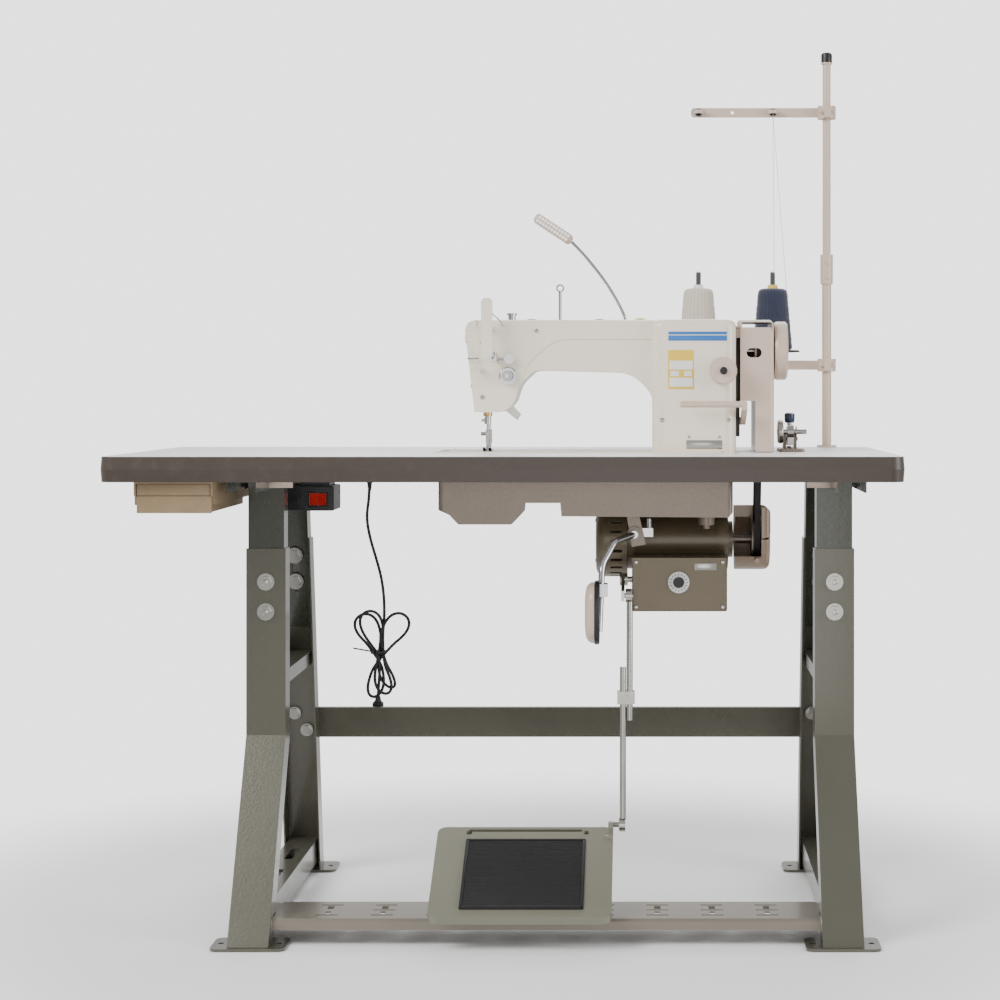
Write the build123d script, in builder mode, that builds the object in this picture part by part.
"""Industrial lockstitch sewing machine on its table and stand.

Frame: millimetres, +X to the operator's right, +Y away from the operator, +Z up.
The origin is on the floor, below the centre of the table top.
"""

from build123d import *
import math
import os

os.makedirs("parts", exist_ok=True)


def save(piece, name):
    """Labels a finished piece and writes it as one STEP file."""
    piece.part.label = name
    export_step(piece.part, f"parts/{name}.step")


# ---------------------------------------------------------------- driving sizes
# Table
table_length = 1200.0
table_depth = 600.0
table_height = 740.0
table_thickness = 38.0
table_y = -20.0
table_corner = 20.0
edging_bulge = 2.0
table_underside = table_height - table_thickness

# Machine head, placed on the table
bed_length = 476.0
bed_width = 178.0
bed_drop = 28.0
bed_right = 356.0
bed_front = -125.0
bed_left = bed_right - bed_length
bed_proud = 1.6
bed_top = table_height + bed_proud
bed_back = bed_front + bed_width
bed_gap = 1.5
bed_gap_back = 6.5
hinge_x = (-70.0, 300.0)
hinge_y = bed_back + 13
hinge_z = bed_top - 13.6
hinge_pocket_back = hinge_y + 20
needle_x = -41.0
needle_y = -34.0
shaft_z = bed_top + 161.4
arm_top = bed_top + 210.4
arm_front = -84.0
arm_back = 16.0
arm_left = -56.0
pillar_left = 225.0
pillar_right = 358.0
pillar_front = -104.0
pillar_back = 42.0

# Shafts and running clearance
main_shaft_radius = 7.5
hook_shaft_radius = 5.0
needle_bar_radius = 3.6
presser_bar_radius = 3.75
running = 0.06
easy = 0.5

# Stand
stand_centre = 64.0
post_width = 62.0
post_depth = 41.0
sheet = 2.5
post_offset = 447.0
front_post_y = -133.0
front_knee_z = 297.0
front_foot_y = -298.0
outer_post_top = 590.0
rear_top_y = 162.0
rear_foot_y = 290.0
foot_plate = 4.0
foot_length = 113.0
foot_width = 73.0
foot_end = table_depth / 2 - table_y + edging_bulge
foot_hole_pitch = 88.0
foot_hole_radius = 4.5

# Belt drive
belt_x = 398.0
handwheel_radius = 47.0
head_pulley_radius = 33.0
motor_pulley_radius = 33.0
belt_thickness = 6.0
belt_width = 10.0
motor_y = 70.0
motor_z = 592.0
motor_radius = 43.0

# Thread stand
pole_x = 529.0
pole_y = 245.0
pole_radius = 8.0
pole_top = 1423.0

clamp_bolt_radius = 5.0
front_clamp_z = (538.0, 491.0)
rear_clamp_z = (558.0, 513.0)
beam_bolts = ((-10.0, 281.0), (10.0, 251.0))

rear_lean = math.degrees(math.atan2(rear_foot_y - rear_top_y, outer_post_top - foot_plate))


def rear_y(height):
    """Y of the rear face of the leaning rear posts at a height."""
    return rear_foot_y - (height - foot_plate) * math.tan(math.radians(rear_lean))


# ---------------------------------------------------------------- table
slot_left = belt_x - 14.0
slot_right = belt_x + 14.0
slot_front = -24.0
slot_back = 82.0
ledge_size = 30.0
ledge_top = bed_top - bed_drop

with BuildPart() as table_top:
    with BuildSketch(Plane.XY.offset(table_underside)):
        with Locations((0, table_y)):
            RectangleRounded(table_length, table_depth, table_corner)
    extrude(amount=table_thickness)
    with BuildSketch(Plane.XY.offset(table_underside)):
        with Locations(((bed_left + bed_right) / 2, (bed_front - bed_gap + bed_back + bed_gap_back) / 2)):
            RectangleRounded(bed_length + 2 * bed_gap, bed_width + bed_gap + bed_gap_back, 4)
        for pocket_x in hinge_x:
            with Locations((pocket_x, (bed_back + hinge_pocket_back) / 2)):
                Rectangle(40, hinge_pocket_back - bed_back)
        with Locations(((slot_left + slot_right) / 2, (slot_front + slot_back) / 2)):
            SlotOverall(slot_back - slot_front, slot_right - slot_left, rotation=90)
        with Locations((pole_x, pole_y)):
            Circle(pole_radius + easy)
    extrude(amount=table_thickness, mode=Mode.SUBTRACT)
    # Corner ledges that carry the bed
    with BuildSketch(Plane.XY.offset(table_underside)):
        for ledge_x in (bed_left - bed_gap, bed_right + bed_gap - ledge_size):
            for ledge_y in (bed_front - bed_gap, bed_back + bed_gap_back - ledge_size):
                with Locations((ledge_x + ledge_size / 2, ledge_y + ledge_size / 2)):
                    Rectangle(ledge_size + 1, ledge_size + 1)
    extrude(amount=ledge_top - table_underside)
save(table_top, "table_top")

edging_taper = 4.5
with BuildPart() as table_edging:
    with BuildSketch(Plane.XY.offset(table_underside + table_thickness / 2)):
        with Locations((0, table_y)):
            RectangleRounded(
                table_length + 2 * edging_bulge,
                table_depth + 2 * edging_bulge,
                table_corner + edging_bulge,
            )
    extrude(amount=table_thickness / 2, both=True, taper=edging_taper)
    with BuildSketch(Plane.XY.offset(table_underside)):
        with Locations((0, table_y)):
            RectangleRounded(table_length, table_depth, table_corner)
    extrude(amount=table_thickness, mode=Mode.SUBTRACT)
save(table_edging, "table_edging")

# ---------------------------------------------------------------- stand


def channel_post(outline, centre_x, width, wall, inner_outline):
    """A U channel: a side outline in YZ pulled to a width, with a narrower outline taken away."""
    with BuildPart() as post:
        with BuildSketch(Plane.YZ.offset(centre_x - width / 2)):
            with BuildLine():
                Polyline(*outline, close=True)
            make_face()
        extrude(amount=width)
        with BuildSketch(Plane.YZ.offset(centre_x - width / 2 + wall)):
            with BuildLine():
                Polyline(*inner_outline, close=True)
            make_face()
        extrude(amount=width - 2 * wall, mode=Mode.SUBTRACT)
    return post.part


front_slope = (front_post_y - front_foot_y) / (front_knee_z - foot_plate)
front_run = post_depth * math.hypot(1, front_slope)
side_bar_low = 371.0
side_bar_high = 393.0
cross_low = 17.0
cross_high = 57.0


def side_frame(post_x):
    """The welded side frame: two outer posts, two cross bars and two foot plates."""
    front_knee_back = front_knee_z - (front_run - post_depth) / front_slope
    front_outline = [
        (front_foot_y, foot_plate),
        (front_post_y, front_knee_z),
        (front_post_y, outer_post_top),
        (front_post_y + post_depth, outer_post_top),
        (front_post_y + post_depth, front_knee_back),
        (front_foot_y + front_run, foot_plate),
    ]
    web = sheet * math.hypot(1, front_slope)
    front_inner = [
        (front_foot_y + web, foot_plate - 1),
        (front_post_y + sheet, front_knee_z - (web - sheet) / front_slope),
        (front_post_y + sheet, outer_post_top + 1),
        (front_post_y + post_depth + 1, outer_post_top + 1),
        (front_post_y + post_depth + 1, front_knee_back),
        (front_foot_y + front_run + 1, foot_plate - 1),
    ]
    rear_outline = [
        (rear_y(foot_plate), foot_plate),
        (rear_y(outer_post_top), outer_post_top),
        (rear_y(outer_post_top) - post_depth, outer_post_top),
        (rear_y(foot_plate) - post_depth, foot_plate),
    ]
    rear_inner = [
        (rear_y(foot_plate - 1) - sheet, foot_plate - 1),
        (rear_y(outer_post_top + 1) - sheet, outer_post_top + 1),
        (rear_y(outer_post_top + 1) - post_depth - 1, outer_post_top + 1),
        (rear_y(foot_plate - 1) - post_depth - 1, foot_plate - 1),
    ]
    bar_width = post_width - 2 * sheet - 8
    front_low_y = front_foot_y + (cross_low - foot_plate) * front_slope + web
    front_high_y = front_foot_y + (cross_high - foot_plate) * front_slope + web
    with BuildPart() as frame:
        add(channel_post(front_outline, post_x, post_width, sheet, front_inner))
        add(channel_post(rear_outline, post_x, post_width, sheet, rear_inner))
        # Middle bar between the posts
        with BuildSketch(Plane.XZ.offset(-(front_post_y + sheet))):
            with Locations((post_x, (side_bar_low + side_bar_high) / 2)):
                Rectangle(bar_width, side_bar_high - side_bar_low)
                Rectangle(bar_width - 2 * sheet, side_bar_high - side_bar_low - 2 * sheet, mode=Mode.SUBTRACT)
        extrude(amount=-(rear_y(side_bar_high) - sheet - front_post_y - sheet))
        # Lower cross bar, a channel open downwards with two lightening slots
        with BuildSketch(Plane.YZ.offset(post_x - bar_width / 2)):
            with BuildLine():
                Polyline(
                    (front_low_y, cross_low),
                    (front_high_y, cross_high),
                    (rear_y(cross_high) - sheet, cross_high),
                    (rear_y(cross_low) - sheet, cross_low),
                    close=True,
                )
            make_face()
        extrude(amount=bar_width)
        with BuildSketch(Plane.YZ.offset(post_x - bar_width / 2 + sheet)):
            with BuildLine():
                Polyline(
                    (front_low_y + 12, cross_low - 1),
                    (front_high_y + 12, cross_high - sheet),
                    (rear_y(cross_high) - sheet - 8, cross_high - sheet),
                    (rear_y(cross_low) - sheet - 8, cross_low - 1),
                    close=True,
                )
            make_face()
        extrude(amount=bar_width - 2 * sheet, mode=Mode.SUBTRACT)
        with BuildSketch(Plane.XY.offset(cross_high - 2 * sheet)):
            for slot_y in (-40.0, 130.0):
                with Locations((post_x, slot_y)):
                    SlotOverall(90, 14, rotation=90)
        extrude(amount=3 * sheet, mode=Mode.SUBTRACT)
        # Foot plates with anchor holes
        for foot_x, foot_y in (
            (post_x, front_foot_y - 11 + foot_width / 2),
            (post_x, foot_end - foot_width / 2),
        ):
            with BuildSketch(Plane.XY):
                with Locations((foot_x, foot_y)):
                    RectangleRounded(foot_length, foot_width, 12)
                with Locations(
                    (foot_x - foot_hole_pitch / 2, foot_y), (foot_x + foot_hole_pitch / 2, foot_y)
                ):
                    Circle(foot_hole_radius, mode=Mode.SUBTRACT)
            extrude(amount=foot_plate)
        # Bolt holes for the height clamp and the rear beam
        with BuildSketch(Plane.XZ.offset(-(front_post_y - 1))):
            with Locations(*[(post_x, z) for z in front_clamp_z]):
                Circle(clamp_bolt_radius + easy)
        extrude(amount=-(sheet + 2), mode=Mode.SUBTRACT)
        with BuildSketch(Plane.XZ.offset(-(rear_top_y - 60))):
            with Locations(*[(post_x, z) for z in rear_clamp_z]):
                Circle(clamp_bolt_radius + easy)
        extrude(amount=-140, mode=Mode.SUBTRACT)
        with BuildSketch(Plane.XZ.offset(-(rear_top_y - 10))):
            with Locations(*[(post_x + dx, z) for dx, z in beam_bolts]):
                Circle(clamp_bolt_radius + easy)
        extrude(amount=-140, mode=Mode.SUBTRACT)
    return frame.part


left_post_x = stand_centre - post_offset
right_post_x = stand_centre + post_offset

with BuildPart() as left_side_frame:
    add(side_frame(left_post_x))
save(left_side_frame, "left_side_frame")
with BuildPart() as right_side_frame:
    add(side_frame(right_post_x))
save(right_side_frame, "right_side_frame")

# Upper brackets: a rail under the table with two inner posts that slide in the outer ones
inner_gap = 0.4
inner_width = post_width - 2 * sheet - 2 * inner_gap
inner_low = 434.0
rail_width = 45.0
rail_drop = 18.0
rail_inset = 8.0
rail_front = -270.0
rail_back = 226.0
with BuildPart() as upper_brackets:
    for side, post_x in ((-1, left_post_x), (1, right_post_x)):
        front_out = front_post_y + sheet + inner_gap
        front_in = front_post_y + post_depth
        front_outline = [
            (front_out, inner_low),
            (front_out, table_underside),
            (front_in, table_underside),
            (front_in, inner_low),
        ]
        front_hollow = [
            (front_out + sheet, inner_low - 1),
            (front_out + sheet, table_underside + 1),
            (front_in + 1, table_underside + 1),
            (front_in + 1, inner_low - 1),
        ]
        add(channel_post(front_outline, post_x, inner_width, sheet, front_hollow))
        back_shift = sheet + inner_gap
        rear_outline = [
            (rear_y(inner_low) - back_shift, inner_low),
            (rear_y(table_underside) - back_shift, table_underside),
            (rear_y(table_underside) - post_depth, table_underside),
            (rear_y(inner_low) - post_depth, inner_low),
        ]
        rear_hollow = [
            (rear_y(inner_low - 1) - back_shift - sheet, inner_low - 1),
            (rear_y(table_underside + 1) - back_shift - sheet, table_underside + 1),
            (rear_y(table_underside + 1) - post_depth - 1, table_underside + 1),
            (rear_y(inner_low - 1) - post_depth - 1, inner_low - 1),
        ]
        add(channel_post(rear_outline, post_x, inner_width, sheet, rear_hollow))
        rail_x = post_x + side * (rail_width / 2 - rail_inset)
        with BuildSketch(Plane.XY.offset(table_underside - sheet)):
            with Locations((rail_x, (rail_front + rail_back) / 2)):
                Rectangle(rail_width, rail_back - rail_front)
        extrude(amount=sheet)
        for wall_x in (rail_x - rail_width / 2 + sheet / 2, rail_x + rail_width / 2 - sheet / 2):
            with BuildSketch(Plane.YZ.offset(wall_x - sheet / 2)):
                with BuildLine():
                    Polyline(
                        (rail_front, table_underside),
                        (rail_front, table_underside - rail_drop),
                        (rail_back - 30, table_underside - rail_drop),
                        (rail_back, table_underside - sheet),
                        (rail_back, table_underside),
                        close=True,
                    )
                make_face()
            extrude(amount=sheet)
    # Clamp bolt holes; slots in the inner posts give the height range
    for post_x in (left_post_x, right_post_x):
        with BuildSketch(Plane.XZ.offset(-(front_post_y - 1))):
            with Locations((post_x, sum(front_clamp_z) / 2)):
                SlotOverall(80, 2 * clamp_bolt_radius + 1, rotation=90)
        extrude(amount=-(2 * sheet + 3), mode=Mode.SUBTRACT)
        with BuildSketch(Plane.XZ.offset(-(rear_top_y - 30))):
            with Locations((post_x, sum(rear_clamp_z) / 2)):
                SlotOverall(80, 2 * clamp_bolt_radius + 1, rotation=90)
        extrude(amount=-100, mode=Mode.SUBTRACT)
save(upper_brackets, "upper_brackets")

# ---------------------------------------------------------------- shape helpers


def block(x, y, z, mode=Mode.ADD):
    """A box from its low and high limits along X, Y and Z, in the current part."""
    with Locations(((x[0] + x[1]) / 2, (y[0] + y[1]) / 2, (z[0] + z[1]) / 2)):
        Box(x[1] - x[0], y[1] - y[0], z[1] - z[0], mode=mode)


def rod_x(y, z, radius, low, high, mode=Mode.ADD):
    """A cylinder along X."""
    with BuildSketch(Plane.YZ.offset(low)) as outline:
        with Locations((y, z)):
            Circle(radius)
    extrude(outline.sketch, amount=high - low, mode=mode)


def rod_y(x, z, radius, low, high, mode=Mode.ADD):
    """A cylinder along Y."""
    with BuildSketch(Plane.XZ.offset(-low)) as outline:
        with Locations((x, z)):
            Circle(radius)
    extrude(outline.sketch, amount=low - high, mode=mode)


def rod_z(x, y, radius, low, high, mode=Mode.ADD):
    """A cylinder along Z."""
    with BuildSketch(Plane.XY.offset(low)) as outline:
        with Locations((x, y)):
            Circle(radius)
    extrude(outline.sketch, amount=high - low, mode=mode)


def pull_y(points, low, high, mode=Mode.ADD):
    """An outline in XZ pulled along Y."""
    with BuildSketch(Plane.XZ.offset(-low)) as outline:
        with BuildLine():
            Polyline(*points, close=True)
        make_face()
    extrude(outline.sketch, amount=low - high, mode=mode)


def pull_x(points, low, high, mode=Mode.ADD):
    """An outline in YZ pulled along X."""
    with BuildSketch(Plane.YZ.offset(low)) as outline:
        with BuildLine():
            Polyline(*points, close=True)
        make_face()
    extrude(outline.sketch, amount=high - low, mode=mode)


def straight_rod(start, end, radius):
    """A cylinder from one point to another."""
    along = Vector(*end) - Vector(*start)
    with BuildSketch(Plane(start, z_dir=along)) as outline:
        Circle(radius)
    extrude(outline.sketch, amount=along.length)


def pipe(points, radius, bends):
    """A round rod through points, with tangent bends."""
    with BuildLine() as line:
        FilletPolyline(*points, radius=bends)
    with BuildSketch(Plane(line.line @ 0, z_dir=line.line % 0)) as outline:
        Circle(radius)
    sweep(outline.sketch, path=line.line)


# ---------------------------------------------------------------- rear beam, foot bar, bolts
beam_low = 237.0
beam_high = 290.0
beam_flange = 12.0
beam_left = left_post_x - 20
beam_right = right_post_x + 20
with BuildPart() as rear_beam:
    beam_outline = [
        (rear_y(beam_low), beam_low),
        (rear_y(beam_high), beam_high),
        (rear_y(beam_high) + beam_flange, beam_high),
        (rear_y(beam_high) + beam_flange, beam_high - sheet),
        (rear_y(beam_high - sheet) + sheet, beam_high - sheet),
        (rear_y(beam_low + sheet) + sheet, beam_low + sheet),
        (rear_y(beam_low) + beam_flange, beam_low + sheet),
        (rear_y(beam_low) + beam_flange, beam_low),
    ]
    pull_x(beam_outline, beam_left, beam_right)
    for post_x in (left_post_x, right_post_x):
        for shift, height in beam_bolts:
            rod_y(post_x + shift, height, clamp_bolt_radius + easy, 200, 260, Mode.SUBTRACT)
save(rear_beam, "rear_beam")

foot_bar_front = -270.0
foot_bar_back = -150.0
foot_bar_low = 23.0
bar_inset = 7.5
foot_bar_high = 40.0
cross_half = (post_width - 2 * sheet - 8) / 2
foot_bar_left = left_post_x + cross_half
foot_bar_right = right_post_x - cross_half
pedal_hinge_y = -235.0
pedal_hinge_z = 72.0
pedal_left = -112.5
pedal_right = 163.0
pedal_pin_radius = 5.0
ear_width = 6.0
ear_left = pedal_left + 6
ear_right = pedal_right - 6
with BuildPart() as foot_bar:
    bar_bevel = 4.0
    bar_outline = [
        (foot_bar_front, foot_bar_low),
        (foot_bar_front, foot_bar_high - bar_bevel),
        (foot_bar_front + bar_bevel, foot_bar_high),
        (foot_bar_back - bar_bevel, foot_bar_high),
        (foot_bar_back, foot_bar_high - bar_bevel),
        (foot_bar_back, foot_bar_low),
        (foot_bar_back - sheet, foot_bar_low),
        (foot_bar_back - sheet, foot_bar_high - bar_bevel - 1),
        (foot_bar_back - bar_bevel - 1, foot_bar_high - sheet),
        (foot_bar_front + bar_bevel + 1, foot_bar_high - sheet),
        (foot_bar_front + sheet, foot_bar_high - bar_bevel - 1),
        (foot_bar_front + sheet, foot_bar_low),
    ]
    pull_x(bar_outline, foot_bar_left + bar_inset, foot_bar_right - bar_inset)
    for tab_low in (foot_bar_left, foot_bar_right - bar_inset - 12):
        block(
            (tab_low, tab_low + bar_inset + 12),
            (foot_bar_front + 48, foot_bar_back - 6),
            (foot_bar_high - 7, foot_bar_high - 1),
        )
    # Staggered slots that let the pedal be set anywhere along the bar
    with BuildSketch(Plane.XY.offset(foot_bar_high - 2 * sheet)):
        for row_y, row_shift in ((-243, 0), (-210, 42), (-177, 0)):
            with Locations((stand_centre + row_shift, row_y)):
                with GridLocations(84, 1, 9 if row_shift == 0 else 8, 1):
                    Rectangle(34, 6)
        with Locations((stand_centre, -193)):
            with GridLocations(84, 1, 9, 1):
                Rectangle(10, 20)
        with Locations((stand_centre, -228)):
            with GridLocations(84, 1, 9, 1):
                Rectangle(8, 16)
    extrude(amount=3 * sheet, mode=Mode.SUBTRACT)
    # Two hinge brackets, each a base with four screws and one ear
    for ear_x, base_side in ((ear_left, 1), (ear_right - ear_width, -1)):
        base_low = ear_x if base_side > 0 else ear_x + ear_width - 34
        block(
            (base_low, base_low + 34),
            (pedal_hinge_y - 18, pedal_hinge_y + 30),
            (foot_bar_high, foot_bar_high + 4),
        )
        block(
            (ear_x, ear_x + ear_width),
            (pedal_hinge_y - 14, pedal_hinge_y + 14),
            (foot_bar_high, pedal_hinge_z),
        )
        rod_x(pedal_hinge_y, pedal_hinge_z, 14.5, ear_x, ear_x + ear_width)
        rod_x(
            pedal_hinge_y,
            pedal_hinge_z,
            pedal_pin_radius + running,
            ear_x - 1,
            ear_x + ear_width + 1,
            Mode.SUBTRACT,
        )
        for screw_x in (base_low + 11, base_low + 24):
            for screw_y in (pedal_hinge_y - 13, pedal_hinge_y + 22):
                rod_z(screw_x, screw_y, 3.5, foot_bar_high + 4, foot_bar_high + 7)
save(foot_bar, "foot_bar")

with BuildPart() as stand_bolts:
    for post_x in (left_post_x, right_post_x):
        for height in front_clamp_z:
            rod_y(post_x, height, clamp_bolt_radius, front_post_y - 12, front_post_y + 22)
            rod_y(post_x, height, 13.5, front_post_y - 2.2, front_post_y)
            with BuildSketch(Plane.XZ.offset(-(front_post_y - 2.2))):
                with Locations((post_x, height)):
                    RegularPolygon(9.5, 6)
            extrude(amount=7)
        for height in rear_clamp_z:
            face_y = rear_y(height) - 2 * sheet - inner_gap
            rod_y(post_x, height, clamp_bolt_radius, face_y - 12, face_y + 22)
            rod_y(post_x, height, 13.5, face_y - 6, face_y - 3.4)
            with BuildSketch(Plane.XZ.offset(-(face_y - 6))):
                with Locations((post_x, height)):
                    RegularPolygon(9.5, 6)
            extrude(amount=7)
        for shift, height in beam_bolts:
            face_y = rear_y(height) - sheet
            rod_y(post_x + shift, height, clamp_bolt_radius, face_y - 11, face_y + 9)
            rod_y(post_x + shift, height, 11, face_y - 5, face_y - 2.6)
            with BuildSketch(Plane.XZ.offset(-(face_y - 5))):
                with Locations((post_x + shift, height)):
                    RegularPolygon(8.5, 6)
            extrude(amount=6)
save(stand_bolts, "stand_bolts")

# ---------------------------------------------------------------- pan, drawer, switch box
pan_wall = 3.0
pan_front = bed_front + 8
pan_back = bed_back - 27
pan_top = table_underside
pan_steps = [
    (bed_left + 6, pan_top),
    (bed_left + 6, 650),
    (-96, 642),
    (-82, 627),
    (2, 627),
    (16, 642),
    (18, 661),
    (79, 661),
    (81, 640),
    (345, 638),
    (bed_right - 4, 646),
    (bed_right - 4, pan_top),
]
with BuildPart() as oil_pan:
    pull_y(pan_steps, pan_front, pan_back)
    fillet(oil_pan.edges().filter_by(Axis.Z), 8)
    offset(amount=-pan_wall, openings=oil_pan.faces().sort_by(Axis.Z)[-1])
    with BuildSketch(Plane.XY.offset(pan_top - 2)):
        with Locations(((bed_left + bed_right) / 2, (bed_front + bed_back) / 2)):
            RectangleRounded(bed_length + 28, bed_width + 24, 10)
        with Locations(((bed_left + bed_right) / 2 + 1, (pan_front + pan_back) / 2)):
            RectangleRounded(bed_length - 18, pan_back - pan_front - 2 * pan_wall, 5, mode=Mode.SUBTRACT)
    extrude(amount=2)
    rod_z(312, -40, 14, 622, 640)
    rod_z(312, -40, 6, 616, 622)
save(oil_pan, "oil_pan")

drawer_left = -548.0
drawer_right = -434.0
drawer_front = -304.0
drawer_back = 0.0
drawer_split = 681.0
drawer_bottom = 655.0
drawer_travel = 200.0
with BuildPart() as drawer_housing:
    block((drawer_left - 4, drawer_right), (drawer_front, drawer_back), (drawer_split, table_underside))
    block(
        (drawer_left - 1, drawer_right - 3),
        (drawer_front - 1, drawer_back - 3),
        (drawer_split - 1, table_underside - 3),
        Mode.SUBTRACT,
    )
    # Side walls with inward lips that the drawer slides on
    for wall_low in (drawer_left - 4, drawer_right - 3):
        block((wall_low, wall_low + 3), (drawer_front + 6, drawer_back), (drawer_bottom + 12, drawer_split))
    for lip_low in (drawer_left - 1, drawer_right - 7):
        block(
            (lip_low, lip_low + 4),
            (drawer_front + 6, drawer_back),
            (drawer_bottom + 12, drawer_bottom + 14),
        )
save(drawer_housing, "drawer_housing")
with BuildPart() as drawer:
    block(
        (drawer_left + 4, drawer_right - 8),
        (drawer_front + 8, drawer_back - 4),
        (drawer_bottom, table_underside - 5),
    )
    block(
        (drawer_left + 6.5, drawer_right - 10.5),
        (drawer_front + 10.5, drawer_back - 6.5),
        (drawer_bottom + 2.5, table_underside),
        Mode.SUBTRACT,
    )
    for flange in ((drawer_left, drawer_left + 5), (drawer_right - 9, drawer_right - 4)):
        block(flange, (drawer_front + 8, drawer_back - 4), (drawer_bottom + 14.4, drawer_bottom + 16.4))
    # Front panel below the housing's lip
    block(
        (drawer_left, drawer_right - 2),
        (drawer_front + 2, drawer_front + 5),
        (drawer_bottom, drawer_split - 0.5),
    )
    block(
        (drawer_left + 4, drawer_right - 8),
        (drawer_front + 5, drawer_front + 8.5),
        (drawer_bottom, drawer_split - 2),
    )
save(drawer, "drawer")

cord_exit = (-268.6, 266.0, 688.0)
switch_left = -374.0
switch_right = -296.0
switch_front = 8.0
switch_back = 94.0
switch_low = 642.0
switch_high = 683.0
rocker_x = -322.0
rocker_z = 661.0
rocker_pin_radius = 2.5
with BuildPart() as switch_box:
    block((switch_left, switch_right), (switch_front, switch_back), (switch_low, switch_high))
    fillet(switch_box.edges(), 3)
    block(
        (switch_left + 22, switch_right - 8),
        (switch_front + 10, switch_back - 10),
        (switch_high - 1, table_underside),
    )
    block(
        (rocker_x - 15, rocker_x + 15),
        (switch_front - 1, switch_front + 14),
        (rocker_z - 11, rocker_z + 11),
        Mode.SUBTRACT,
    )
    rod_z(
        rocker_x,
        switch_front + 4,
        rocker_pin_radius + running,
        rocker_z - 14,
        rocker_z + 14,
        Mode.SUBTRACT,
    )
    rod_y(switch_left + 24, rocker_z - 1, 9, switch_front - 5, switch_front + 1)
    rod_y(switch_left + 24, rocker_z - 1, 5, switch_front - 8, switch_front - 5)
    # Cable gland under the table for the mains cord
    rod_z(cord_exit[0], cord_exit[1], 7, cord_exit[2], table_underside)
    rod_z(cord_exit[0], cord_exit[1], 11, table_underside - 4, table_underside)
save(switch_box, "switch_box")
with BuildPart() as power_rocker:
    rod_z(rocker_x, switch_front + 4, rocker_pin_radius, rocker_z - 13, rocker_z + 13)
    pull_y(
        [
            (rocker_x - 14, rocker_z - 10),
            (rocker_x + 14, rocker_z - 10),
            (rocker_x + 14, rocker_z + 10),
            (rocker_x - 14, rocker_z + 10),
        ],
        switch_front + 1,
        switch_front + 6,
    )
    pull = [
        (rocker_x - 13, switch_front + 1),
        (rocker_x, switch_front - 0.5),
        (rocker_x + 13, switch_front - 4),
        (rocker_x + 13, switch_front + 1),
    ]
    with BuildSketch(Plane.XY.offset(rocker_z - 9)):
        with BuildLine():
            Polyline(*pull, close=True)
        make_face()
    extrude(amount=18)
save(power_rocker, "power_rocker")

# ---------------------------------------------------------------- motor
fan_left = 132.0
fan_right = 184.0
fan_radius = 62.0
motor_right = 350.0
box_low = 484.0
box_left = 192.0
box_right = 345.0
box_front = -58.0
lever_pivot_y = -15.0
lever_pivot_z = 532.0
guard_left = 361.0
guard_right = 419.0
guard_radius = 46.0
shaft_radius = 7.0
with BuildPart() as motor_housing:
    rod_x(motor_y, motor_z, motor_radius + 6, fan_right + 0.5, motor_right)
    for groove_x in (fan_right + 14, motor_right - 22):
        with BuildSketch(Plane.YZ.offset(groove_x)):
            with Locations((motor_y, motor_z)):
                Circle(motor_radius + 7)
                Circle(motor_radius + 4.5, mode=Mode.SUBTRACT)
        extrude(amount=1.5, mode=Mode.SUBTRACT)
    rod_x(motor_y, motor_z, 30, motor_right, motor_right + 8)
    rod_x(motor_y, motor_z, shaft_radius + running, 300, motor_right + 9, Mode.SUBTRACT)
    # Mounting bracket up to the table
    for arm_x in (228, 306):
        block((arm_x, arm_x + 8), (motor_y + 20, motor_y + 90), (motor_z + 36, table_underside))
    block((220, 322), (motor_y + 12, motor_y + 110), (table_underside - 6, table_underside))
save(motor_housing, "motor_housing")

with BuildPart() as motor_fan_cover:
    rod_x(motor_y, motor_z, fan_radius, fan_left, fan_right)
    fillet(motor_fan_cover.edges().filter_by(GeomType.CIRCLE).sort_by(Axis.X)[0], 16)
    rod_x(motor_y, motor_z, fan_radius - 4, fan_left + 22, fan_right + 1, Mode.SUBTRACT)
    for angle in range(0, 360, 15):
        turn = math.radians(angle)
        vent_y = motor_y + fan_radius * math.cos(turn)
        vent_z = motor_z + fan_radius * math.sin(turn)
        with BuildSketch(
            Plane(
                (fan_left + 26, vent_y, vent_z),
                x_dir=(1, 0, 0),
                z_dir=(0, math.cos(turn), math.sin(turn)),
            ),
        ):
            with Locations((8, 0)):
                SlotOverall(20, 5)
        extrude(amount=8, both=True, mode=Mode.SUBTRACT)
save(motor_fan_cover, "motor_fan_cover")

dial_x = 267.0
dial_z = 531.0
dial_radius = 17.0
box_front_top = 570.0
with BuildPart() as control_box:
    block((box_left, box_right), (box_front, motor_y + 30), (box_low, motor_z - motor_radius - 7))
    fillet(control_box.edges().filter_by(Axis.Y).group_by(Axis.Z)[0], 3)
    block((box_left, box_right), (box_front, motor_y - motor_radius - 3), (dial_z, box_front_top))
    fillet(control_box.faces().sort_by(Axis.Y)[0].edges().filter_by(Axis.Z), 2)
    block(
        (box_left + 30, box_right - 30),
        (motor_y - 20, motor_y + 20),
        (motor_z - motor_radius - 9, motor_z - motor_radius - 6),
    )
    rod_y(dial_x, dial_z, 5 + easy, box_front - 1, box_front + 12, Mode.SUBTRACT)
    rod_x(lever_pivot_y, lever_pivot_z, 5 + running, box_left - 1, box_left + 14, Mode.SUBTRACT)
save(control_box, "control_box")
with BuildPart() as speed_dial:
    rod_y(dial_x, dial_z, dial_radius, box_front - 3.5, box_front - easy)
    rod_y(dial_x, dial_z, 8, box_front - 15, box_front - 3.5)
    block((dial_x - 1.5, dial_x + 1.5), (box_front - 17, box_front - 15), (dial_z, dial_z + 7))
    rod_y(dial_x, dial_z, 5, box_front - easy, box_front + 11)
save(speed_dial, "speed_dial")

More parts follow.
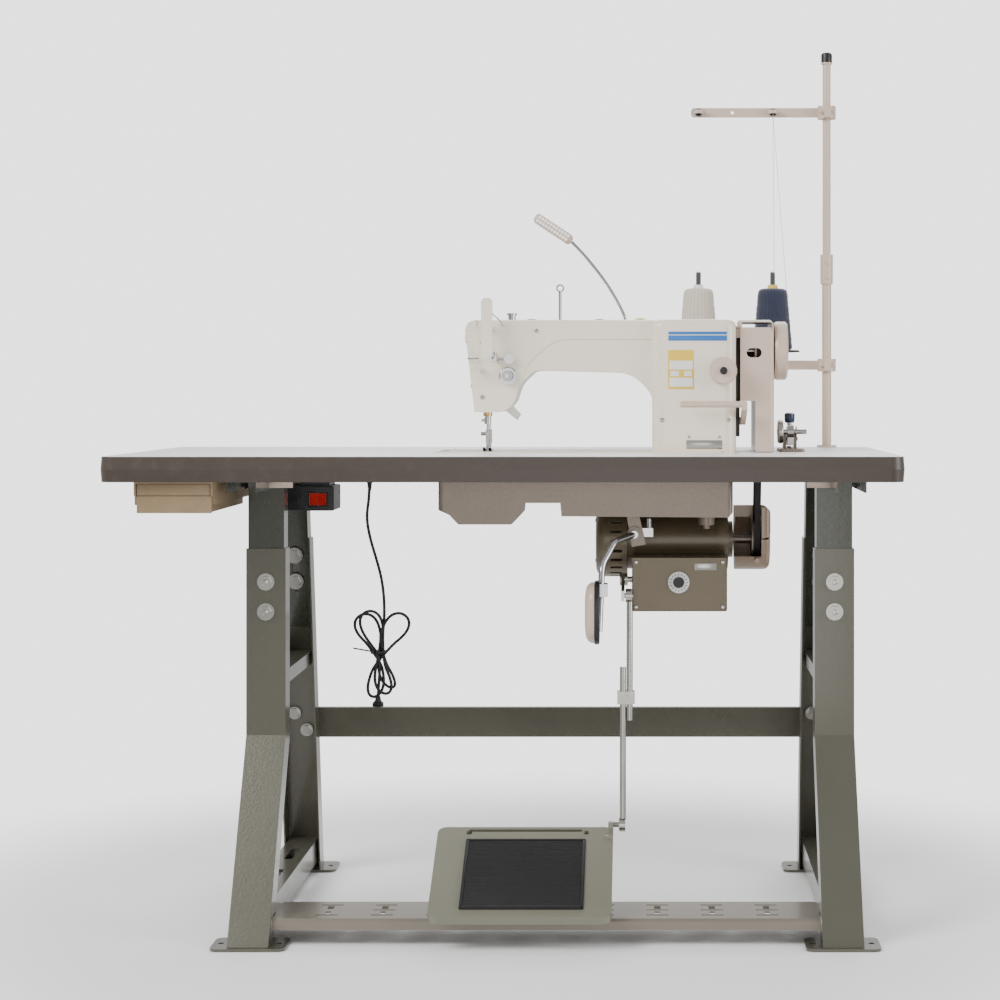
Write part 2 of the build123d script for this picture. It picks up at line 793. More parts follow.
with BuildPart() as pulley_wheel:
    with BuildSketch(Plane.XY):
        with BuildLine():
            Polyline(
                (belt_x - 9, 0),
                (belt_x + 9, 0),
                (belt_x + 9, motor_pulley_radius + 4),
                (belt_x + 6.5, motor_pulley_radius + 4),
                (belt_x + 5.4, motor_pulley_radius - belt_thickness),
                (belt_x - 5.4, motor_pulley_radius - belt_thickness),
                (belt_x - 6.5, motor_pulley_radius + 4),
                (belt_x - 9, motor_pulley_radius + 4),
                close=True,
            )
        make_face()
    revolve(axis=Axis.X)
with BuildPart() as motor_pulley:
    add(pulley_wheel.part.moved(Location((0, motor_y, motor_z))))
    rod_x(motor_y, motor_z, shaft_radius, 304, belt_x)
save(motor_pulley, "motor_pulley")

with BuildPart() as motor_belt_guard:
    with BuildSketch(Plane.YZ.offset(guard_left)):
        with Locations((motor_y, motor_z)):
            Circle(guard_radius + 4)
        with Locations((motor_y - 12, motor_z + 30)):
            Rectangle(2 * guard_radius, 50)
    extrude(amount=guard_right - guard_left)
    fillet(motor_belt_guard.faces().sort_by(Axis.X)[-1].edges(), 10)
    with BuildSketch(Plane.YZ.offset(guard_left + 3)):
        with Locations((motor_y, motor_z)):
            Circle(guard_radius + 1)
        with Locations((motor_y - 12, motor_z + 32)):
            Rectangle(2 * guard_radius - 6, 60)
    extrude(amount=guard_right - guard_left - 6, mode=Mode.SUBTRACT)
    rod_x(motor_y, motor_z, 30 + easy, guard_left - 1, guard_left + 4, Mode.SUBTRACT)
    with BuildSketch(Plane.YZ.offset(guard_left - 1)):
        with Locations((motor_y - 12, motor_z + 40)):
            Rectangle(2 * guard_radius - 6, 34)
    extrude(amount=5, mode=Mode.SUBTRACT)
    block((motor_right, guard_left), (motor_y + 30, motor_y + 38), (motor_z - 8, motor_z + 8))
    # Open front that shows the belt and its pulley
    block(
        (guard_left - 1, belt_x + 6),
        (motor_y - guard_radius - 20, motor_y - 12),
        (motor_z - 26, motor_z + 100),
        Mode.SUBTRACT,
    )
    rod_y(397, 560, 4, motor_y - guard_radius - 8, motor_y - guard_radius + 20)
save(motor_belt_guard, "motor_belt_guard")

# ---------------------------------------------------------------- belt
belt_rise = shaft_z - motor_z
belt_angle = math.atan2(belt_rise, needle_y - motor_y)
belt_length = math.hypot(belt_rise, needle_y - motor_y)
with BuildPart() as v_belt:
    with BuildSketch(Plane.YZ.offset(belt_x - belt_width / 2)):
        with Locations(
            Location(
                ((needle_y + motor_y) / 2, (shaft_z + motor_z) / 2, 0), math.degrees(belt_angle)
            ),
        ):
            SlotCenterToCenter(belt_length, 2 * head_pulley_radius + 2.0)
            SlotCenterToCenter(
                belt_length, 2 * head_pulley_radius + 2.0 - 2 * belt_thickness, mode=Mode.SUBTRACT
            )
    extrude(amount=belt_width)
save(v_belt, "v_belt")

# ---------------------------------------------------------------- thread stand
guide_z = 1322.0
spool_z = 883.0
spool_x = (306.0, 435.0)
cone_base = 909.0
cone_height = 107.0
with BuildPart() as thread_pole:
    rod_z(pole_x, pole_y, pole_radius, table_underside - 24, 1030)
    rod_z(pole_x, pole_y, pole_radius - 1, 1030, pole_top - 17)
    rod_z(pole_x, pole_y, pole_radius + 3, 1024, 1075)
    for bolt_z in (1036, 1062):
        rod_y(pole_x, bolt_z, 3.5, pole_y - 19, pole_y)
    rod_z(pole_x, pole_y, 9.3, pole_top - 17, pole_top)
    fillet(thread_pole.edges().filter_by(GeomType.CIRCLE).sort_by(Axis.Z)[-1], 4)
    rod_z(pole_x, pole_y, 17, table_height, table_height + 4)
    with BuildSketch(Plane.XY.offset(table_underside - 14)):
        with Locations((pole_x, pole_y)):
            RegularPolygon(15, 6)
    extrude(amount=14)
save(thread_pole, "thread_pole")


def pole_clamp(height):
    """A split collar with a clamp screw round the pole, in the current part."""
    rod_z(pole_x, pole_y, pole_radius + 8, height - 11, height + 11)
    block((pole_x - 6, pole_x + 6), (pole_y - pole_radius - 16, pole_y), (height - 10, height + 10))
    rod_x(pole_y - pole_radius - 10, height, 3, pole_x - 14, pole_x + 14)


with BuildPart() as guide_arm:
    pole_clamp(guide_z)
    block((293, pole_x), (pole_y - 2.5, pole_y + 2.5), (guide_z - 8, guide_z + 8))
    fillet(guide_arm.edges().filter_by(Axis.Y).group_by(Axis.X)[0], 6)
    for eye_x in spool_x:
        rod_z(eye_x, pole_y - 14, 9, guide_z - 3, guide_z + 3)
        block((eye_x - 3, eye_x + 3), (pole_y - 8, pole_y), (guide_z - 3, guide_z + 3))
        rod_z(eye_x, pole_y - 14, 5, guide_z - 4, guide_z + 4, Mode.SUBTRACT)
    rod_y(365, guide_z, 3, pole_y - 3, pole_y + 3, Mode.SUBTRACT)
    rod_z(pole_x, pole_y, pole_radius - 1, guide_z - 12, guide_z + 12, Mode.SUBTRACT)
save(guide_arm, "guide_arm")

with BuildPart() as spool_arm:
    pole_clamp(spool_z)
    block((spool_x[0] - 12, pole_x), (pole_y - 3, pole_y + 3), (spool_z - 8, spool_z + 8))
    for spindle_x in spool_x:
        rod_z(spindle_x, pole_y, 4, spool_z, 1045)
        rod_z(spindle_x, pole_y, 10, spool_z + 8, cone_base - 4)
        rod_z(spindle_x, pole_y, 34, cone_base - 4, cone_base)
        rod_z(spindle_x, pole_y, 11, cone_base, cone_base + 30)
    rod_z(pole_x, pole_y, pole_radius, spool_z - 12, spool_z + 12, Mode.SUBTRACT)
save(spool_arm, "spool_arm")


def thread_cone(spindle_x):
    """A wound cone of thread on its core, bored for the spindle and its collar."""
    with BuildPart() as cone:
        with BuildSketch(Plane.XZ):
            with BuildLine():
                Polyline(
                    (11.4, 0),
                    (33, 0),
                    (34, 6),
                    (27, cone_height - 7),
                    (24, cone_height),
                    (12, cone_height),
                    (11, cone_height + 6),
                    (6, cone_height + 6),
                    (6, 34),
                    (11.4, 31),
                    close=True,
                )
            make_face()
        revolve(axis=Axis.Z)
    return cone.part.moved(Location((spindle_x, pole_y, cone_base)))


with BuildPart() as white_thread_cone:
    add(thread_cone(spool_x[0]))
save(white_thread_cone, "white_thread_cone")
with BuildPart() as navy_thread_cone:
    add(thread_cone(spool_x[1]))
save(navy_thread_cone, "navy_thread_cone")

# ---------------------------------------------------------------- bobbin winder
winder_x = 449.0
winder_y = -20.0
winder_axis_z = 772.0
with BuildPart() as winder_base:
    block((winder_x - 20, winder_x + 20), (winder_y - 45, winder_y + 45), (table_height, table_height + 5))
    fillet(winder_base.edges().filter_by(Axis.Z), 6)
    for ear_x in (winder_x - 11, winder_x + 6):
        block((ear_x, ear_x + 5), (winder_y + 12, winder_y + 30), (table_height + 5, table_height + 28))
    rod_x(winder_y + 21, table_height + 20, 3, winder_x - 13, winder_x + 13)
    for screw_y in (winder_y - 36, winder_y + 38):
        rod_z(winder_x, screw_y, 4, table_height + 5, table_height + 8)
save(winder_base, "winder_base")
with BuildPart() as winder_lever:
    block((winder_x - 5, winder_x + 5), (winder_y - 6, winder_y + 30), (table_height + 10, winder_axis_z + 8))
    rod_x(winder_y, winder_axis_z, 11, winder_x - 5, winder_x + 5)
    rod_x(winder_y + 21, table_height + 20, 3 + running, winder_x - 6, winder_x + 6, Mode.SUBTRACT)
    rod_x(winder_y, winder_axis_z, 4 + running, winder_x - 6, winder_x + 6, Mode.SUBTRACT)
    rod_z(winder_x, winder_y + 24, 4, winder_axis_z + 6, winder_axis_z + 14)
    rod_z(winder_x, winder_y + 24, 7, winder_axis_z + 14, winder_axis_z + 28)
    fillet(winder_lever.edges().filter_by(GeomType.CIRCLE).sort_by(Axis.Z)[-1], 2)
save(winder_lever, "winder_lever")
with BuildPart() as winder_wheel:
    rod_x(winder_y, winder_axis_z, 19, winder_x - 21, winder_x - 12)
    fillet(winder_wheel.edges().filter_by(GeomType.CIRCLE), 3)
    rod_x(winder_y, winder_axis_z, 4, winder_x - 22, winder_x + 26)
    rod_x(winder_y, winder_axis_z, 9, winder_x + 8, winder_x + 10)
save(winder_wheel, "winder_wheel")

# ---------------------------------------------------------------- knee lifter
knee_axis_z = 610.0
knee_axis_y = -60.0
knee_rod_radius = 6.0
knee_x = 196.0
pad_x = 134.0
pad_y = -185.0
pad_z = 495.0
knee_screw_z = 632.0
with BuildPart() as knee_bracket:
    pull_y(
        [(knee_x - 12, 636), (knee_x + 8, 638), (knee_x + 18, 592), (knee_x - 4, 588)],
        knee_axis_y - 4,
        knee_axis_y + 2,
    )
    rod_y(knee_x + 1, knee_screw_z, 4, knee_axis_y - 7, knee_axis_y)
    rod_y(knee_x, knee_axis_z, 11, knee_axis_y - 12, knee_axis_y + 12)
    rod_y(knee_x, knee_axis_z, knee_rod_radius + running, knee_axis_y - 13, knee_axis_y + 13, Mode.SUBTRACT)
    block((knee_x - 10, knee_x + 8), (knee_axis_y - 4, knee_axis_y + 2), (626, 634))
save(knee_bracket, "knee_bracket")
with BuildPart() as knee_lever:
    rod_y(knee_x, knee_axis_z, knee_rod_radius, knee_axis_y - 40, knee_axis_y + 30)
    block((knee_x - 8, knee_x + 30), (knee_axis_y + 14, knee_axis_y + 24), (knee_axis_z - 7, knee_axis_z + 7))
    rod_z(knee_x + 24, knee_axis_y + 19, 4, knee_axis_z, knee_axis_z + 22)
    pipe(
        [
            (knee_x, knee_axis_y - 34, knee_axis_z),
            (knee_x - 30, knee_axis_y - 74, knee_axis_z - 8),
            (pad_x + 12, pad_y + 30, 566),
            (pad_x + 8, pad_y + 8, pad_z - 30),
        ],
        knee_rod_radius - 1,
        [18, 40],
    )
    block((pad_x + 1, pad_x + 21), (pad_y + 8, pad_y + 34), (518, 538))
save(knee_lever, "knee_lever")
with BuildPart() as knee_pad:
    with BuildSketch(Plane.YZ.offset(pad_x - 6)):
        with Locations((pad_y, pad_z)):
            RectangleRounded(74, 98, 30)
    extrude(amount=8)
    with BuildSketch(Plane.YZ.offset(pad_x - 6)):
        with Locations((pad_y, pad_z)):
            RectangleRounded(66, 90, 28)
    extrude(amount=-14, taper=22)
    fillet(knee_pad.faces().sort_by(Axis.X)[0].edges(), 5)
    block((pad_x + 2, pad_x + 3), (pad_y - 12, pad_y + 30), (pad_z - 20, pad_z + 30))
save(knee_pad, "knee_pad")

# ---------------------------------------------------------------- pedal and its link to the motor
pedal_slope = math.radians(26.7)
pedal_cos = math.cos(pedal_slope)
pedal_sin = math.sin(pedal_slope)
pedal_back = 134.0
pedal_front = -82.0
pedal_thick = 5.0


def on_pedal(along, above):
    """A YZ point from its distance up the pedal's slope and above the pivot line."""
    return (
        pedal_hinge_y + along * pedal_cos - above * pedal_sin,
        pedal_hinge_z + along * pedal_sin + above * pedal_cos,
    )


pedal_plane = Plane(
    (0, *on_pedal(0, 16)),
    x_dir=(1, 0, 0),
    z_dir=(0, -pedal_sin, pedal_cos),
)
with BuildPart() as pedal_plate:
    with BuildSketch(pedal_plane):
        with Locations(((pedal_left + pedal_right) / 2, (pedal_back + pedal_front) / 2)):
            RectangleRounded(pedal_right - pedal_left, pedal_back - pedal_front, 14)
    extrude(amount=pedal_thick)
    rim = 9.0
    with BuildSketch(pedal_plane):
        with Locations(((pedal_left + pedal_right) / 2, (pedal_back + pedal_front) / 2)):
            RectangleRounded(pedal_right - pedal_left, pedal_back - pedal_front, 14)
            RectangleRounded(
                pedal_right - pedal_left - 6, pedal_back - pedal_front - 6, 11, mode=Mode.SUBTRACT
            )
    extrude(amount=-rim)
    with BuildSketch(pedal_plane.offset(-rim)):
        for hole_x in (-63.0, 121.0):
            with Locations((hole_x, pedal_back - 14)):
                Circle(5)
        with Locations(((pedal_left + pedal_right) / 2, pedal_back - 9)):
            SlotOverall(180, 6)
    extrude(amount=40, mode=Mode.SUBTRACT)
    # Bosses and pivot pins
    for boss_low, pin_low in (
        (ear_left + ear_width + 1, ear_left - 3),
        (ear_right - ear_width - 13, ear_right - ear_width - 13),
    ):
        rod_x(pedal_hinge_y, pedal_hinge_z, 11, boss_low, boss_low + 12)
        block(
            (boss_low, boss_low + 12),
            (pedal_hinge_y - 9, pedal_hinge_y + 9),
            (pedal_hinge_z, pedal_hinge_z + 14),
        )
        rod_x(pedal_hinge_y, pedal_hinge_z, pedal_pin_radius, pin_low, pin_low + 22)
    # Arm to the lower ball
    ball_y, ball_z = -120.0, 154.0
    block((150, pedal_right), (-150, ball_y + 4), (134, 142))
    rod_x(ball_y, ball_z, 4, 158, 174)
    block((155, pedal_right), (ball_y - 8, ball_y + 6), (136, ball_z + 4))
save(pedal_plate, "pedal_plate")
with BuildPart() as pedal_mat:
    with BuildSketch(pedal_plane.offset(pedal_thick)):
        with Locations(((pedal_left + pedal_right) / 2 + 2, (pedal_back + pedal_front) / 2 - 8)):
            RectangleRounded(187, 166, 12)
    extrude(amount=3)
    with BuildSketch(pedal_plane.offset(pedal_thick + 3)):
        with Locations(((pedal_left + pedal_right) / 2 + 2, (pedal_back + pedal_front) / 2 - 8)):
            with GridLocations(1, 12, 1, 12):
                Rectangle(170, 5)
    extrude(amount=1.5)
save(pedal_mat, "pedal_mat")

rod_top_y = -85.0
rod_top_z = 512.0
rod_x_place = 178.0
rod_split = (rod_top_z - ball_z) * 0.62 + ball_z
lever_x = rod_x_place + 3


def rod_point(height):
    """Y of the connecting rod at a height."""
    return ball_y + (rod_top_y - ball_y) * (height - ball_z) / (rod_top_z - ball_z)


with BuildPart() as pitman_rod:
    for low, high, radius, shift in (
        (ball_z + 8, rod_split + 24, 5.0, 0.0), (rod_split - 60, rod_top_z - 10, 5.0, 10.6)
    ):
        straight_rod(
            (rod_x_place + shift, rod_point(low), low),
            (rod_x_place + shift, rod_point(high), high),
            radius,
        )
    block(
        (rod_x_place - 9, rod_x_place + 19),
        (rod_point(rod_split) - 9, rod_point(rod_split) + 9),
        (rod_split - 34, rod_split - 14),
    )
    rod_y(rod_x_place + 5, rod_split - 24, 4, rod_point(rod_split) - 16, rod_point(rod_split))
    for eye_x, eye_y, eye_z in ((rod_x_place - 4, ball_y, ball_z), (rod_x_place + 6, rod_top_y, rod_top_z)):
        rod_x(eye_y, eye_z, 11, eye_x - 2, eye_x + 8)
        rod_x(eye_y, eye_z, 5.2 if eye_z > 300 else 4 + running, eye_x - 3, eye_x + 9, Mode.SUBTRACT)
save(pitman_rod, "pitman_rod")

with BuildPart() as motor_lever:
    pull_x(
        [
            (lever_pivot_y + 10, lever_pivot_z + 10),
            (lever_pivot_y - 10, lever_pivot_z + 10),
            (rod_top_y - 8, rod_top_z + 8),
            (rod_top_y - 8, rod_top_z - 8),
            (rod_top_y + 8, rod_top_z - 10),
            (lever_pivot_y + 10, lever_pivot_z - 12),
        ],
        lever_x - 6,
        lever_x - 1,
    )
    rod_x(rod_top_y, rod_top_z, 4, lever_x - 6, rod_x_place + 16)
    rod_x(lever_pivot_y, lever_pivot_z, 10, lever_x - 9, lever_x + 4)
    rod_x(lever_pivot_y, lever_pivot_z, 5, lever_x, box_left + 12)
save(motor_lever, "motor_lever")

# ---------------------------------------------------------------- machine head
nose_z = 804.0
nose_right = -21.0
arm_under = 871.0
wall = 10.0
chamber_right = -15.0
plate_split = -60.0
recess_front = -62.0
recess_back = -6.0
slide_thickness = 1.2
plate_thickness = 3.0
panel_depth = 1.5
hook_z = bed_top - 29.6
presser_y = needle_y + 26
lifter_x = -36.0
lifter_z = 834.0
dial_place_x = 337.0
dial_stem_radius = 5.0
dial_place_z = 870.0
dial_bore_end = pillar_front + wall + 1
reverse_y = -60.0
reverse_z = 790.0
take_up_y = -40.0
take_up_z = 922.0
tension_x = -5.0
tension_z = 862.0

with BuildPart() as arm_body:
    with BuildSketch(Plane.XZ.offset(-arm_front)):
        with BuildLine():
            Line((arm_left, nose_z), (nose_right, nose_z))
            Spline(
                (nose_right, nose_z),
                (6, 824),
                (15, 848),
                (30, 864),
                (52, arm_under),
                tangents=((1, 0.2), (1, 0)),
            )
            Line((52, arm_under), (168, 868))
            Spline((168, 868), (207, 851), (pillar_left + 4, 806), tangents=((1, -0.03), (0.05, -1)))
            Polyline(
                (pillar_left + 4, 806),
                (pillar_left + 40, 806),
                (pillar_left + 40, arm_top),
                (arm_left, arm_top),
                (arm_left, nose_z),
            )
        make_face()
    extrude(amount=arm_front - arm_back)
    fillet(arm_body.edges().filter_by(Axis.X).group_by(Axis.Z)[-1], 14)
with BuildPart() as pillar_body:
    block((pillar_left, pillar_right), (pillar_front, pillar_back), (bed_top - 1, arm_top))
    fillet(pillar_body.edges().filter_by(Axis.Z), 18)
    fillet(pillar_body.faces().sort_by(Axis.Z)[-1].edges(), 12)
with BuildPart() as head_casting:
    with BuildSketch(Plane.XY.offset(bed_top - bed_drop)):
        with Locations(((bed_left + bed_right) / 2, (bed_front + bed_back) / 2)):
            RectangleRounded(bed_length, bed_width, 8)
    extrude(amount=bed_drop)
    chamfer(head_casting.faces().sort_by(Axis.Z)[-1].edges(), 1)
    add(arm_body.part)
    add(pillar_body.part)
    block(
        (bed_left + 7, bed_right - 7),
        (bed_front + 7, bed_back - 7),
        (bed_top - bed_drop - 1, bed_top - 9),
        Mode.SUBTRACT,
    )
    block(
        (pillar_left + wall, pillar_right - wall),
        (pillar_front + wall, pillar_back - wall),
        (bed_top - 10, arm_top - 12),
        Mode.SUBTRACT,
    )
    block(
        (chamber_right - 1, pillar_left + wall + 1),
        (arm_front + wall, arm_back - wall),
        (880, arm_top - 12),
        Mode.SUBTRACT,
    )
    block(
        (arm_left - 1, chamber_right),
        (arm_front + wall, arm_back - wall),
        (nose_z + 8, arm_top - 12),
        Mode.SUBTRACT,
    )
    # Webs that carry the main shaft and the hook shaft
    block((60, 72), (arm_front + 5, arm_back - 5), (875, arm_top - 8))
    block((110, 124), (needle_y - 14, needle_y + 14), (hook_z - 10, bed_top - 5))
    block((0, 12), (needle_y - 14, needle_y + 14), (hook_z - 10, bed_top - 5))
    rod_x(needle_y, shaft_z, main_shaft_radius + running, 59, 73, Mode.SUBTRACT)
    rod_x(
        needle_y,
        shaft_z,
        main_shaft_radius + running,
        pillar_right - wall - 1,
        pillar_right + 1,
        Mode.SUBTRACT,
    )
    rod_x(needle_y, hook_z, hook_shaft_radius + running, -1, 125, Mode.SUBTRACT)
    # Bushes for the needle bar and the presser bar
    rod_z(needle_x, needle_y, 7, nose_z - 5, nose_z + 9)
    rod_z(needle_x, needle_y, needle_bar_radius + running, nose_z - 6, nose_z + 10, Mode.SUBTRACT)
    rod_z(needle_x, presser_y, presser_bar_radius + running, nose_z - 1, nose_z + 9, Mode.SUBTRACT)
    # Take-up slot, lifter pivot, dial and reverse lever bores
    block((-41, -35), (arm_front - 1, arm_front + wall + 1), (892, 942), Mode.SUBTRACT)
    rod_y(lifter_x, lifter_z, 4 + running, arm_back - wall - 1, arm_back + 1, Mode.SUBTRACT)
    rod_y(
        dial_place_x,
        dial_place_z,
        dial_stem_radius + running,
        pillar_front - 1,
        dial_bore_end,
        Mode.SUBTRACT,
    )
    rod_x(reverse_y, reverse_z, 6 + running, pillar_right - wall - 1, pillar_right + 1, Mode.SUBTRACT)
    # Recess for the needle plate and the slide plate, open below
    block(
        (bed_left - 1, plate_split),
        (recess_front, recess_back),
        (bed_top - slide_thickness - running, bed_top + 1),
        Mode.SUBTRACT,
    )
    block(
        (plate_split, -18),
        (recess_front, recess_back),
        (bed_top - plate_thickness, bed_top + 1),
        Mode.SUBTRACT,
    )
    block(
        (bed_left + 16, -24),
        (recess_front + 6, recess_back - 6),
        (bed_top - 10, bed_top + 1),
        Mode.SUBTRACT,
    )
    # Shallow sunk area on the front of the arm, along the arch
    with BuildSketch(Plane.XZ.offset(-arm_front - panel_depth)):
        with BuildLine():
            Spline((18, 850), (22, 872), (34, 890), (53, 906), (90, 921), tangents=((0, 1), (1, 0.1)))
            Polyline((90, 921), (pillar_left - 1, 921), (pillar_left - 1, 790), (18, 790), (18, 850))
        make_face()
    extrude(amount=panel_depth + 1, mode=Mode.SUBTRACT)
    # Hinge lugs at the back of the bed
    for lug_x in hinge_x:
        block((lug_x - 12, lug_x + 12), (bed_back - 3, hinge_y), (hinge_z - 6, hinge_z + 6))
        rod_x(hinge_y, hinge_z, 9.5, lug_x - 12, lug_x + 12)
        rod_x(hinge_y, hinge_z, 5 + running, lug_x - 13, lug_x + 13, Mode.SUBTRACT)
save(head_casting, "head_casting")

with BuildPart() as bed_hinges:
    for lug_x in hinge_x:
        block((lug_x - 19, lug_x + 19), (hinge_y + 10.5, hinge_pocket_back), (hinge_z - 14, hinge_z + 10))
        for cheek_low in (lug_x - 19, lug_x + 13.5):
            block((cheek_low, cheek_low + 5.5), (hinge_y - 7, hinge_y + 11), (hinge_z - 10, hinge_z + 9))
        rod_x(hinge_y, hinge_z, 5, lug_x - 19, lug_x + 19)
save(bed_hinges, "bed_hinges")

face_left = -74.0
with BuildPart() as face_plate:
    pull_y(
        [
            (arm_left, nose_z),
            (arm_left - 3, nose_z),
            (face_left, arm_top - 16),
            (face_left + 5, arm_top - 5),
            (arm_left, arm_top),
        ],
        arm_front,
        arm_back,
    )
    pull_y(
        [
            (arm_left + 1, nose_z + 20),
            (arm_left - 1, nose_z + 20),
            (face_left + 3, arm_top - 18),
            (arm_left + 1, arm_top - 14),
        ],
        arm_front + 8,
        arm_back - 8,
        Mode.SUBTRACT,
    )
    for screw_z in (830, 925):
        rod_x(
            arm_front + 12 if screw_z > 900 else arm_back - 14,
            screw_z,
            4,
            face_left - 1 if screw_z > 900 else -64,
            arm_left - 2,
        )
save(face_plate, "face_plate")

with BuildPart() as needle_plate:
    block(
        (plate_split + 0.2, -18.2),
        (recess_front + 0.2, recess_back - 0.2),
        (bed_top - plate_thickness, bed_top),
    )
    rod_z(needle_x, needle_y, 1.4, bed_top - 4, bed_top + 1, Mode.SUBTRACT)
    for row_low in (needle_x - 8.5, needle_x + 4.5):
        block(
            (row_low, row_low + 4),
            (needle_y - 20, needle_y + 20),
            (bed_top - 4, bed_top + 1),
            Mode.SUBTRACT,
        )
    for screw_y in (recess_front + 6, recess_back - 6):
        rod_z(-25, screw_y, 3, bed_top - 1, bed_top + 0.3)
save(needle_plate, "needle_plate")
with BuildPart() as slide_plate:
    block(
        (bed_left + 1, plate_split - 0.4),
        (recess_front + 0.3, recess_back - 0.3),
        (bed_top - slide_thickness, bed_top),
    )
    block(
        (bed_left + 5, bed_left + 17),
        (needle_y - 12, needle_y + 12),
        (bed_top - 0.5, bed_top + 1),
        Mode.SUBTRACT,
    )
save(slide_plate, "slide_plate")
with BuildPart() as feed_dog:
    block((needle_x - 8, needle_x + 8), (needle_y - 15, needle_y + 16), (bed_top - 12, bed_top - 8))
    for row_low in (needle_x - 8, needle_x + 5):
        block((row_low, row_low + 3), (needle_y - 15, needle_y + 14), (bed_top - 9, bed_top - 0.3))
        for tooth in range(9):
            tooth_y = needle_y - 14 + 3 * tooth
            block(
                (row_low - 0.5, row_low + 3.5),
                (tooth_y, tooth_y + 1),
                (bed_top - 1.5, bed_top + 0.5),
                Mode.SUBTRACT,
            )
    rod_z(needle_x, needle_y, 3.5, bed_top - 13, bed_top - 7, Mode.SUBTRACT)
save(feed_dog, "feed_dog")
with BuildPart() as rotary_hook:
    rod_x(needle_y, hook_z, 16, needle_x + 4, needle_x + 20)
    rod_x(needle_y, hook_z, 12, needle_x + 3, needle_x + 14, Mode.SUBTRACT)
    rod_x(needle_y, hook_z, 10.5, needle_x + 4.5, needle_x + 13)
    rod_x(needle_y, hook_z, 3, needle_x + 12, needle_x + 16)
    block(
        (needle_x + 3, needle_x + 7),
        (needle_y - 17, needle_y - 10),
        (hook_z - 2, hook_z + 2),
        Mode.SUBTRACT,
    )
    rod_x(needle_y, hook_z, 8, needle_x + 20, -3)
    rod_x(needle_y, hook_z, hook_shaft_radius, -4, 150)
    rod_x(needle_y, hook_z, 11, 126, 144)
save(rotary_hook, "rotary_hook")

with BuildPart() as main_shaft:
    rod_x(needle_y, shaft_z, main_shaft_radius, chamber_right - 9, belt_x + 40)
    rod_x(needle_y, shaft_z, 17, chamber_right - 8, chamber_right - 1)
    rod_x(needle_y, shaft_z, 16, 250, 268)
save(main_shaft, "main_shaft")
wheel_left = belt_x + 23
with BuildPart() as wheel_blank:
    with BuildSketch(Plane.XY):
        with BuildLine():
            Polyline(
                (belt_x - 9, main_shaft_radius),
                (belt_x - 9, head_pulley_radius + 4),
                (belt_x - 6.5, head_pulley_radius + 4),
                (belt_x - 5.4, head_pulley_radius - belt_thickness),
                (belt_x + 5.4, head_pulley_radius - belt_thickness),
                (belt_x + 6.5, head_pulley_radius + 4),
                (belt_x + 9, head_pulley_radius + 4),
                (belt_x + 9, 14),
                (wheel_left + 5, 14),
                (wheel_left + 5, handwheel_radius - 10),
                (wheel_left, handwheel_radius - 8),
                (wheel_left, handwheel_radius - 2),
                (wheel_left + 4, handwheel_radius),
                (wheel_left + 18, handwheel_radius),
                (wheel_left + 21, handwheel_radius - 3),
                (wheel_left + 21, handwheel_radius - 9),
                (wheel_left + 13, handwheel_radius - 11),
                (wheel_left + 13, 15),
                (wheel_left + 19, 12),
                (wheel_left + 19, main_shaft_radius),
                close=True,
            )
        make_face()
    revolve(axis=Axis.X)
with BuildPart() as handwheel:
    add(wheel_blank.part.moved(Location((0, needle_y, shaft_z))))
save(handwheel, "handwheel")

cover_left = pillar_right + 7
cover_right = belt_x + 21
cover_back = 62.0
leg_left = belt_x - 9
with BuildPart() as belt_cover:
    with BuildSketch(Plane.YZ.offset(cover_left)):
        with Locations(((arm_front + cover_back) / 2, (table_height + 1 + arm_top) / 2)):
            RectangleRounded(cover_back - arm_front, arm_top - table_height - 1, 24)
    extrude(amount=cover_right - cover_left)
    block(
        (cover_left - 1, cover_right + 1),
        (arm_front - 1, cover_back + 1),
        (table_height, table_height + 26),
        Mode.SUBTRACT,
    )
    block((cover_left, cover_right), (arm_front, cover_back), (table_height + 1, table_height + 27))
    fillet(belt_cover.faces().sort_by(Axis.X)[-1].edges().group_by(Axis.Z)[-1], 8)
    block((cover_left - 1, leg_left), (arm_front - 1, cover_back + 1), (table_height, 822), Mode.SUBTRACT)
    block(
        (leg_left + 3, cover_right - 3),
        (arm_front + 3, cover_back - 3),
        (table_height, 830),
        Mode.SUBTRACT,
    )
    block(
        (cover_left + 3, cover_right - 3),
        (arm_front + 3, cover_back - 3),
        (825, arm_top - 4),
        Mode.SUBTRACT,
    )
    rod_x(needle_y, shaft_z, 15.5, cover_right - 4, cover_right + 1, Mode.SUBTRACT)
    rod_x(needle_y, shaft_z, 10, cover_left - 1, cover_left + 4, Mode.SUBTRACT)
    with BuildSketch(Plane.XZ.offset(-(arm_front - 1))):
        with Locations((belt_x - 11, shaft_z - 4)):
            SlotOverall(24, 15)
    extrude(amount=-6, mode=Mode.SUBTRACT)
    for screw_z in (836, 940):
        rod_x(0, screw_z, 4, pillar_right, cover_left)
    block((pillar_right, cover_left), (-74, -50), (shaft_z + 20, shaft_z + 34))
save(belt_cover, "belt_cover")

